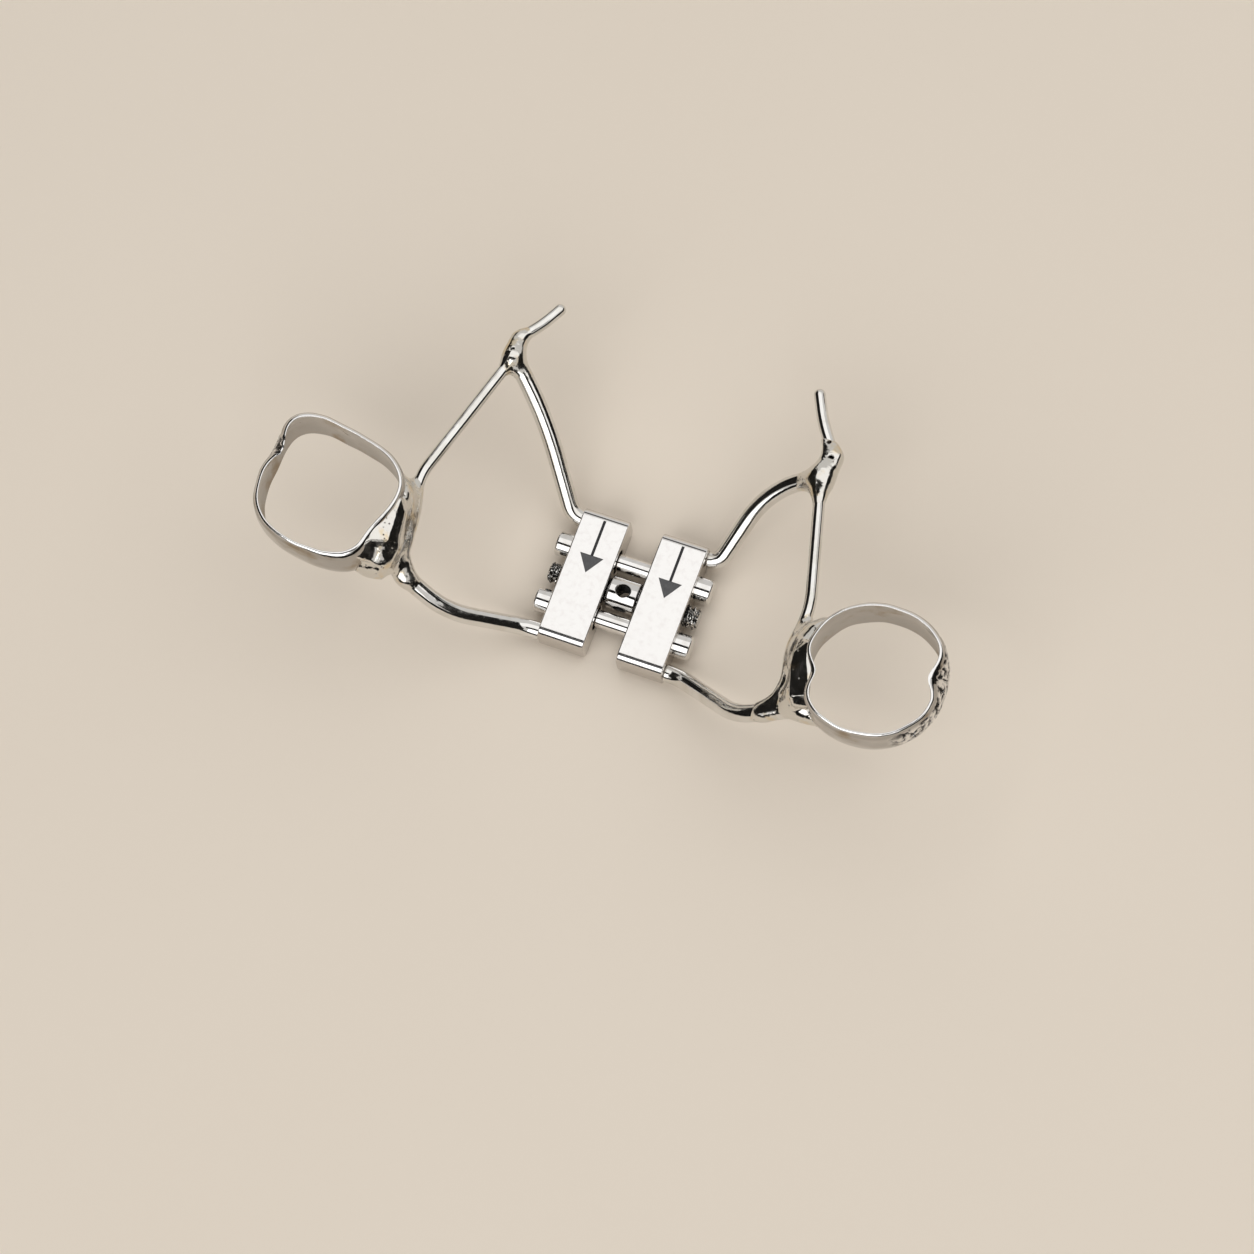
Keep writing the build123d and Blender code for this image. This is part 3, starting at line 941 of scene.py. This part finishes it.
def build_band(half, seed):
    """Band: a thin closed profile (outer wall, rounded rim, inner wall, rounded foot) carried round the outline.

    The wall swells below the rim and curls in to it, the rim dips a little here and there, and a patch of the
    outer wall is rough with spatter.
    """
    turns = np.linspace(0, 2 * pi, 520, endpoint=False)[:, None]
    half_wall = BAND_WALL / 2
    rows = 44
    arc = np.linspace(0, pi, 9)[1:-1]
    climb = np.linspace(BAND_FOOT + half_wall, BAND_RIM - half_wall, rows)
    insets = np.concatenate(
        [np.zeros(rows), half_wall * (1 - np.cos(arc)), np.full(rows, BAND_WALL), half_wall * (1 + np.cos(arc))]
    )
    rim, foot = BAND_RIM - half_wall * (1 - np.sin(arc)), BAND_FOOT + half_wall * (1 - np.sin(arc))
    levels = np.concatenate([climb, rim, climb[::-1], foot])
    share = (levels - BAND_FOOT) / (BAND_RIM - BAND_FOOT)
    curl_out = np.interp(share, [CURL_START, CURL_PEAK], [0, 1])
    curl_in = np.interp(share, [CURL_PEAK, 1], [0, 1])
    swell = RIM_CURL * curl_out**2 * (1 - curl_in**2)
    outward = np.stack([np.cos(turns), np.sin(turns), np.zeros_like(turns)], axis=-1)
    dip = RIM_DIP * (0.5 + 0.5 * lattice_noise(DIP_ROUND * outward, 0.9, seed))
    levels = levels - dip * share**2
    radius = band_radius(half, turns, levels, insets) + swell
    points = band_place(half, turns, levels, radius)
    degrees = np.degrees(turn_between(turns, 0.0))
    spatter = np.interp(degrees, half.rough_turns, [0, 1, 1, 0]) * (insets < half_wall)
    spatter = spatter * np.interp(levels, half.rough_levels, [0, 1, 1, 0])
    lumps = 0.6 * lattice_noise(points, 0.32, seed + 2) + 0.4 * lattice_noise(points, 0.17, seed + 3)
    dents = DENT * (lattice_noise(points, 1.3, seed + 1) - 1) + spatter * np.clip(0.7 * lumps - 0.06, -0.17, DENT)
    points = points + in_half(half, outward) * dents[..., None]
    faces = grid_faces(len(turns), levels.shape[1], wrap_rows=True)
    made = mesh_object(f"{half.name}_band", (points.reshape(-1, 3), faces))
    # The material paints the spatter's hollows near black as shade, and the rim's top and the spattered patch
    # lighter, the patch as painted glints.
    pits = spatter * np.clip(0.85 - 8 * lumps, 0, 1)
    lighter_rim_and_glints = np.maximum(np.clip((share - LIGHTER_RIM_START) / 0.02, 0, 1), spatter)
    mark_points(made, "pits", pits)
    mark_points(made, "lighter_rim_and_glints", lighter_rim_and_glints)
    dress(made, half.body, BAND, f"{half.name}_molar_band", crease=60)


# Solder: one smooth skin over the wires and the wall that it joins.


def smooth_least(first, second, reach):
    """The lesser of two distances, with a fillet where they differ by less than reach."""
    share = np.clip(0.5 + 0.5 * (second - first) / reach, 0, 1)
    return second + (first - second) * share - reach * share * (1 - share)


def edge_gap(points, start, end):
    """Distance of points from a straight edge."""
    run = end - start
    offset = points - start
    offset -= np.clip(offset @ run / (run @ run), 0, 1)[:, None] * run
    return np.sqrt(np.einsum("ij,ij->i", offset, offset))


def wire_gap(points, path, radius):
    """Distance of points from a wire: the least over its short straight steps, less its radius."""
    least = np.full(len(points), np.inf)
    for start, end in zip(path[:-1], path[1:]):
        least = np.minimum(least, edge_gap(points, start, end))
    return least - radius


def wires_gap(points, arm, bar, fillet):
    """Distance of points from an arm and a bar that run together."""
    return smooth_least(wire_gap(points, arm, ARM_RADIUS), wire_gap(points, bar, BAR_RADIUS), fillet)


def facet_gap(half, points, corners, facets):
    """Distance of points from plates with round edges, each of three corners that its upper face passes near.

    Over a plate it's the distance from its plane, elsewhere from its nearest edge, less half its thickness.
    A plate is carried straight down by its depth, so a point under it is first lifted towards it.
    """
    least = np.full(len(points), np.inf)
    corners = in_half(half, corners) - FACET_HALF * UP
    for facet in facets:
        first, second, third = corners[list(facet)]
        normal = np.cross(second - first, third - first)
        area = normal @ normal
        lift = np.clip((first - points) @ normal / normal[2], 0, FACET_DEPTH)
        lifted = points + lift[:, None] * UP
        offset = lifted - first
        along_second = np.cross(offset, third - first) @ normal / area
        along_third = np.cross(second - first, offset) @ normal / area
        over = (along_second > 0) & (along_third > 0) & (along_second + along_third < 1)
        edges = [(first, second), (second, third), (third, first)]
        aside = np.minimum.reduce([edge_gap(lifted, start, end) for start, end in edges])
        least = np.minimum(least, np.where(over, np.abs(offset @ normal) / np.sqrt(area), aside))
    return least - FACET_HALF


def wall_gap(half, points, level):
    """Turn of points about a band's middle, and their distance outward from its wall as it is at a level."""
    across = half.sign * points[:, 0] - half.band_outward + through_levels(level, 0.0, 0.0, RIM_LEAN)
    forward = points[:, 1] - half.band_forward - half.band_skew * across
    turn = np.arctan2(forward, across)
    return turn, np.hypot(across, forward) - band_radius(half, turn, level)


def shoulder_gap(half, points):
    """About the distance from a shoulder of solder along the rim: flat beside the rim and ever steeper from it.

    Its section is a quarter of a squared ellipse, whose width and height change with the turn about the band.
    Past its first and last turn, the way along the wall is added.
    """
    turn, aside = wall_gap(half, points, BAND_RIM)
    degrees = np.degrees(turn) % 360
    width = np.interp(degrees, half.web_turns, half.web_widths)
    above = points[:, 2] - WEB_MIDDLE
    high = np.interp(degrees, half.web_turns, half.web_tops) - WEB_MIDDLE
    low = (WEB_MIDDLE - WEB_FOOT) * np.clip(width / WEB_TAIL, 0.1, 1)
    tall = np.where(above > 0, high, low)
    power = half.web_power
    reach = (np.clip(aside, 0, None) / width) ** power + np.abs(above / tall) ** power
    past = np.clip(np.maximum(half.web_turns[0] - degrees, degrees - half.web_turns[-1]), 0, None)
    return (reach ** (1 / power) - 1) * width + np.radians(past) * half.band_length / 2


def surface_net(field, low, high, step):
    """The zero surface of a field over a box.

    Each grid cell that the surface crosses has one point, the mean of its edges' crossings, which is then moved
    down the field's slope onto the surface; each crossed edge has one quad round it.
    """
    axes = [np.arange(low[axis], high[axis] + step, step) for axis in range(3)]
    grid = np.stack(np.meshgrid(*axes, indexing="ij"), axis=-1)
    values = field(grid.reshape(-1, 3)).reshape(grid.shape[:3])
    cells = tuple(len(axis) - 1 for axis in axes)
    count = np.zeros(cells)
    total = np.zeros(cells + (3,))
    crossed = []
    for axis in range(3):
        level = np.moveaxis(values, axis, 0)
        here, there = level[:-1], level[1:]
        cross = (here < 0) != (there < 0)
        place = np.moveaxis(grid, axis, 0)[:-1].copy()
        place[..., axis] += step * np.where(cross, here / np.where(cross, here - there, 1.0), 0.0)
        place *= cross[..., None]
        rows, columns = np.subtract(cross.shape[1:], 1)
        for row, column in np.ndindex(2, 2):
            window = np.s_[:, row : row + rows, column : column + columns]
            np.moveaxis(count, axis, 0)[...] += cross[window]
            np.moveaxis(total, axis, 0)[...] += place[window]
        crossed.append(cross)
    used = count > 0
    points = total[used] / count[used][:, None]
    number = np.full(cells, -1)
    number[used] = np.arange(len(points))
    faces = []
    for axis, cross in enumerate(crossed):
        cell = np.moveaxis(number, axis, 0)
        edge, row, column = np.nonzero(cross[:, 1:-1, 1:-1])
        round_edge = ((0, 0), (1, 0), (1, 1), (0, 1))
        faces.append(np.stack([cell[edge, row + i, column + j] for i, j in round_edge], axis=-1))
    tiny = 0.01
    for _ in range(3):
        slope = np.stack([field(points + tiny * way) - field(points - tiny * way) for way in np.eye(3)], axis=-1)
        slope /= 2 * tiny
        steep = np.maximum(np.einsum("ij,ij->i", slope, slope), 0.05)
        move = (field(points) / steep)[:, None] * slope
        points = points - np.clip(move, -step, step)
    return points, np.concatenate(faces).tolist()


def near(path, low, high):
    """The part of a path inside a box and a little round it, with one point in three kept."""
    inside = np.all((path > low - 1) & (path < high + 1), axis=1)
    return path[inside][::3]


def box_gap(points, low, high):
    """Distance outside a box that is drawn in from the net's own, so that the net closes within it."""
    return np.max(np.maximum(low + 3 * SOLDER_STEP - points, points - high + 3 * SOLDER_STEP), axis=1)


def solder_piece(half, name, field, low, high, pit_gap=None):
    """The skin where a field is nought, with the depth of its pits kept for its material."""
    shape = surface_net(field, low, high, SOLDER_STEP)
    made = mesh_object(f"{half.name}_{name}", shape)
    sunk = np.clip(1 - pit_gap(shape[0]) / PIT_EDGE, 0, 1) if pit_gap else np.zeros(len(shape[0]))
    mark_points(made, "pits", sunk)
    return made


def build_band_solder(half, seed):
    """Solder web at a band: arm, bar, a shoulder along the rim, its ground facets and the wall, run together."""
    corners = in_half(half, half.web_box)
    low, high = corners.min(axis=0), corners.max(axis=0)
    arm = near(arm_path(half, -1), low, high)
    bar = near(bar_path(half), low, high)

    def field(points):
        up = points[:, 2]
        _, gap = wall_gap(half, points, np.clip(up, BAND_FOOT, BAND_RIM))
        wall = np.maximum(gap + WALL_SINK, np.maximum(up - SOLDERED_TOP, SOLDERED_FOOT - up))
        web = smooth_least(wires_gap(points, arm, bar, WIRE_FILLET), shoulder_gap(half, points), SHOULDER_FILLET)
        web = smooth_least(web, facet_gap(half, points, half.web_corners, half.web_facets), FACET_FILLET)
        skin = smooth_least(web, wall, WALL_FILLET) + SOLDER_SINK + RIPPLE * lattice_noise(points, 0.9, seed)
        clipped = np.maximum(skin, np.maximum(-gap - BAND_WALL / 2, up - (BAND_RIM - RIM_MARGIN)))
        return np.maximum(clipped, box_gap(points, low, high))

    made = solder_piece(half, "band_web", field, low, high)
    dress(made, half.body, SOLDER, f"{half.name}_band_solder")


def build_front_solder(half, seed):
    """Solder where the front arm meets the bar: both wires, a thick root for the finger, facets and pits."""
    middle = in_half(half, half.junction)
    low, high = middle - BEAD_BOX, middle + BEAD_BOX
    arm = near(arm_path(half, 1), low, high)
    bar = near(bar_path(half), low, high)
    root = in_half(half, [half.junction, half.finger_bends[0]])
    pits = np.array(half.bead_pits)
    centres, sizes = in_half(half, pits[:, :3]), pits[:, 3]

    def pit_gap(points):
        return (np.linalg.norm(points[:, None] - centres, axis=2) - sizes).min(axis=1)

    def field(points):
        wires = wires_gap(points, arm, bar, half.bead_reach)
        bead = smooth_least(wires, wire_gap(points, root, half.finger_root), ROOT_FILLET)
        if half.bead_facets:
            bead = smooth_least(bead, facet_gap(half, points, half.bead_corners, half.bead_facets), FACET_FILLET)
        skin = bead + SOLDER_SINK + RIPPLE * lattice_noise(points, 0.8, seed)
        return np.maximum(np.maximum(skin, -pit_gap(points)), box_gap(points, low, high))

    made = solder_piece(half, "front_bead", field, low, high, pit_gap)
    dress(made, half.body, SOLDER, f"{half.name}_front_solder")


# The stage: floor, lights, world and camera.


def build_floor():
    """A wide pale floor under the housings, hardly mottled."""
    side = 1200.0
    corners = np.array([(-side, -side, 0), (side, -side, 0), (side, side, 0), (-side, side, 0)])
    floor = mesh_object("floor", (corners + (0, 0, -TOP - 0.02), [[0, 1, 2, 3]]))
    finish = Finish("pale_floor")
    cloud = finish.noise(60.0)
    colour = finish.mix(cloud, rgb(0.9, 0.8, 0.68), rgb(0.93, 0.835, 0.72))
    floor.data.materials.append(finish.set(Base_Color=colour, Roughness=0.7))


def facing(tilt, side_tilt):
    """Directions across, along and out of a sheet over the object, tilted to the rear and to the right."""
    way = unit(np.array([np.tan(radians(side_tilt)), -np.tan(radians(tilt)), 1.0]))
    across = unit(np.cross((0, 1, 0), way))
    return across, np.cross(way, across), way


def placed(name, data, where):
    """A lamp or camera as an object, turned and moved by a matrix."""
    made = bpy.data.objects.new(name, data)
    made.matrix_world = where
    bpy.context.scene.collection.objects.link(made)
    return made


def soft_light(name, tilt, side_tilt, distance, size, radiance):
    """A rectangular light of even brightness, turned to the object."""
    axes = facing(tilt, side_tilt)
    lamp = bpy.data.lights.new(name, "AREA")
    lamp.shape = "RECTANGLE"
    lamp.size, lamp.size_y = size
    lamp.energy = radiance * pi * size[0] * size[1]
    turn = Matrix(np.column_stack(axes).tolist()).to_4x4()
    placed(name, lamp, Matrix.Translation(axes[2] * distance) @ turn)


def black_sheet(name, shape):
    """A black sheet that metal mirrors, out of the picture."""
    sheet = mesh_object(name, shape)
    sheet.data.materials.append(Finish(name).set(Base_Color=rgb(0.01, 0.01, 0.01), Roughness=1.0))
    sheet.visible_camera = False


def dark_card(name, tilt, side_tilt, distance, size):
    """A flat black card, turned to the object."""
    across, along_card, way = facing(tilt, side_tilt)
    corners = [
        way * distance + x * size[0] / 2 * across + y * size[1] / 2 * along_card
        for x, y in ((-1, -1), (1, -1), (1, 1), (-1, 1))
    ]
    black_sheet(name, (np.array(corners) / MM, [[0, 1, 2, 3]]))


def dark_surround(radius, height, opening):
    """A low black wall round the object, open to the front, for the metal's horizon."""
    turn = np.linspace(pi / 2 + opening / 2, 5 * pi / 2 - opening / 2, 60)
    ring = np.stack([radius * np.cos(turn), radius * np.sin(turn)], axis=-1)
    rows = [np.column_stack([ring, np.full(len(turn), level)]) for level in (0.0, height)]
    black_sheet("dark_surround", (np.concatenate(rows) / MM, grid_faces(2, len(turn), wrap_columns=False)))


def build_lights():
    """A light a little in front of straight up, one to the rear, and dark cards between and beside them."""
    soft_light("front_light", -17.5, 10, 0.9, (1.8, 0.745), 0.48)
    soft_light("rear_light", 46, 0, 0.9, (0.95, 0.75), 1.3)
    dark_card("middle_card", 15.5, 5, 0.8, (1.1, 0.28))
    dark_card("left_card", 5, -57, 0.8, (0.7, 1.2))
    dark_card("right_card", 5, 68, 0.8, (0.36, 1.2))
    dark_surround(1.3, 0.42, radians(80))
    world = bpy.data.worlds.new("room")
    world.use_nodes = True
    shade = world.node_tree.nodes["Background"]
    shade.inputs["Color"].default_value = rgb(1.0, 0.98, 0.95)
    shade.inputs["Strength"].default_value = 0.7
    bpy.context.scene.world = world


CAMERA_TURN = radians(33.07)
CAMERA_RISE = radians(72.14)
CAMERA_ROLL = radians(13.52)
CAMERA_PLACE = (0.224, -2.594, 355.1)
FOCAL_SHARE = 4300 / 1254
SENSOR = 36.0


def build_camera():
    """The photograph's camera: turned round the screw, raised, rolled, and slid across its view."""
    aimed = Matrix.Rotation(CAMERA_TURN, 4, "Z") @ Matrix.Rotation(pi / 2 - CAMERA_RISE, 4, "X")
    aimed = aimed @ Matrix.Rotation(-CAMERA_ROLL, 4, "Z")
    lens = bpy.data.cameras.new("camera")
    lens.sensor_width = SENSOR
    lens.lens = FOCAL_SHARE * SENSOR
    lens.clip_start = 0.01
    away = Matrix.Translation(np.array(CAMERA_PLACE) * MM)
    bpy.context.scene.camera = placed("camera", lens, aimed @ away)


WIRE = polished_wire("polished_wire")
BAND = pressed_band("pressed_band")
SOLDER = flowed_solder("flowed_solder")
HOUSING = satin_housing("satin_housing")
TURNED = turned_steel("turned_steel")
COLLAR = bored_collar("bored_collar")
THREAD = thread_shade_and_glints("thread_shade_and_glints")

build_spindle()
build_pins_and_sleeves()
for number, side in enumerate((LEFT, RIGHT)):
    build_housing(side)
    build_arm(side, 1, 11 + number)
    build_arm(side, -1, 13 + number)
    build_bar(side, 15 + number)
    build_band(side, 21 + number)
    build_band_solder(side, 31 + number)
    build_front_solder(side, 41 + number)

build_floor()
build_lights()
build_camera()
bpy.context.scene.view_settings.view_transform = "Standard"
